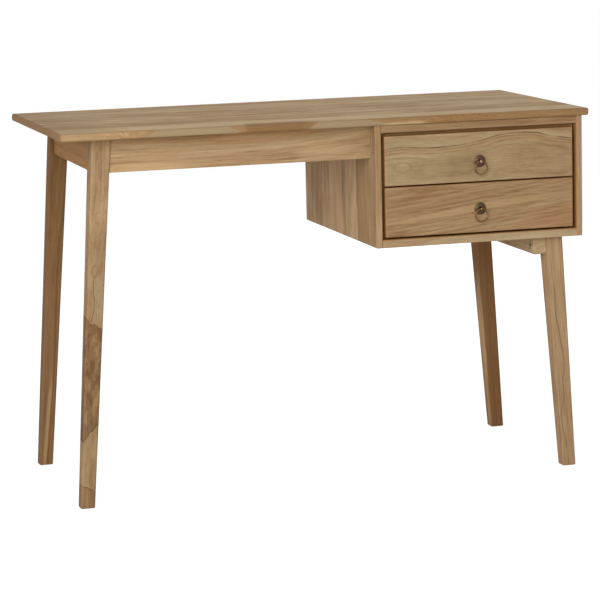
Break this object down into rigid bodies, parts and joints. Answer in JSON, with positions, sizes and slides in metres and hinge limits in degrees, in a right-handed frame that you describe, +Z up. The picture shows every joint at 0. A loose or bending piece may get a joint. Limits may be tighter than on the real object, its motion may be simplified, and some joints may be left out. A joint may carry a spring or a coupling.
{
  "type": "desk with drawers",
  "caption": "Teak writing desk: thin edge-glued top, splayed tapered legs, and a side cabinet with inset drawers on wooden runners, opened by swinging ring pulls.",
  "frame": {"origin": "on the floor, under the middle of the tabletop", "axes": "+Z up; -Y towards the front, where the drawers open; +X towards the cabinet"},
  "size_m": [1.1, 0.514, 0.75],
  "materials": {
    "teak_tabletop": "oiled satin",
    "teak_apron": "oiled satin",
    "teak_leg": "oiled satin",
    "teak_cabinet": "oiled satin",
    "teak_drawer_front": "oiled satin",
    "inner_board": "raw",
    "aged_brass": "darkened",
    "zinc_steel": "zinc plated",
    "dowel_wood": "raw"
  },
  "bodies": {
    "desk_frame": {"tabletop": "teak_tabletop", "front_apron": "teak_apron", "rear_apron": "teak_apron", "left_side_rail": "teak_apron", "left_front_leg": "teak_leg", "left_rear_leg": "teak_leg", "right_front_leg": "teak_leg", "right_rear_leg": "teak_leg", "cabinet_left_side": "teak_cabinet", "cabinet_right_side": "teak_cabinet", "cabinet_bottom": "teak_cabinet", "cabinet_front_rail": "teak_cabinet", "cabinet_rear_rail": "teak_cabinet", "leg_cleat": "teak_cabinet", "cabinet_back": "inner_board", "front_corner_block": "inner_board", "rear_corner_block": "inner_board", "lower_runner_left": "inner_board", "lower_runner_right": "inner_board", "upper_runner_left": "inner_board", "upper_runner_right": "inner_board", "lower_guide_left": "inner_board", "lower_guide_right": "inner_board", "upper_guide_left": "inner_board", "upper_guide_right": "inner_board", "kicker_left": "inner_board", "kicker_right": "inner_board", "kicker_front": "inner_board", "tabletop_screws": "zinc_steel", "apron_screws": "zinc_steel", "cleat_screws": "zinc_steel", "back_panel_screws": "zinc_steel", "leg_bolts": "zinc_steel", "leg_bolt_washers": "zinc_steel", "leg_bolt_inserts": "zinc_steel", "hanger_bolts": "zinc_steel", "hanger_nuts": "zinc_steel", "cabinet_dowels": "dowel_wood"},
    "upper_drawer": {"upper_drawer_front": "teak_drawer_front", "upper_drawer_left_side": "inner_board", "upper_drawer_right_side": "inner_board", "upper_drawer_back": "inner_board", "upper_drawer_bottom": "inner_board", "upper_drawer_dowels": "dowel_wood", "upper_pull_rosette": "aged_brass", "upper_pull_post": "aged_brass", "upper_pull_nut": "aged_brass"},
    "lower_drawer": {"lower_drawer_front": "teak_drawer_front", "lower_drawer_left_side": "inner_board", "lower_drawer_right_side": "inner_board", "lower_drawer_back": "inner_board", "lower_drawer_bottom": "inner_board", "lower_drawer_dowels": "dowel_wood", "lower_pull_rosette": "aged_brass", "lower_pull_post": "aged_brass", "lower_pull_nut": "aged_brass"},
    "upper_ring": {"upper_pull_ring": "aged_brass"},
    "lower_ring": {"lower_pull_ring": "aged_brass"}
  },
  "joints": [
    {"name": "upper_drawer_slide", "type": "slide", "parent": "desk_frame", "child": "upper_drawer", "axis": [0, -1, 0], "range_m": [0, 0.33]},
    {"name": "upper_ring_swing", "type": "hinge", "parent": "upper_drawer", "child": "upper_ring", "pos_m": [0.31425, -0.255, 0.6525], "axis": [-1, 0, 0], "range_deg": [-14, 194]},
    {"name": "lower_drawer_slide", "type": "slide", "parent": "desk_frame", "child": "lower_drawer", "axis": [0, -1, 0], "range_m": [0, 0.33]},
    {"name": "lower_ring_swing", "type": "hinge", "parent": "lower_drawer", "child": "lower_ring", "pos_m": [0.31425, -0.255, 0.5555], "axis": [-1, 0, 0], "range_deg": [-14, 194]}
  ]
}
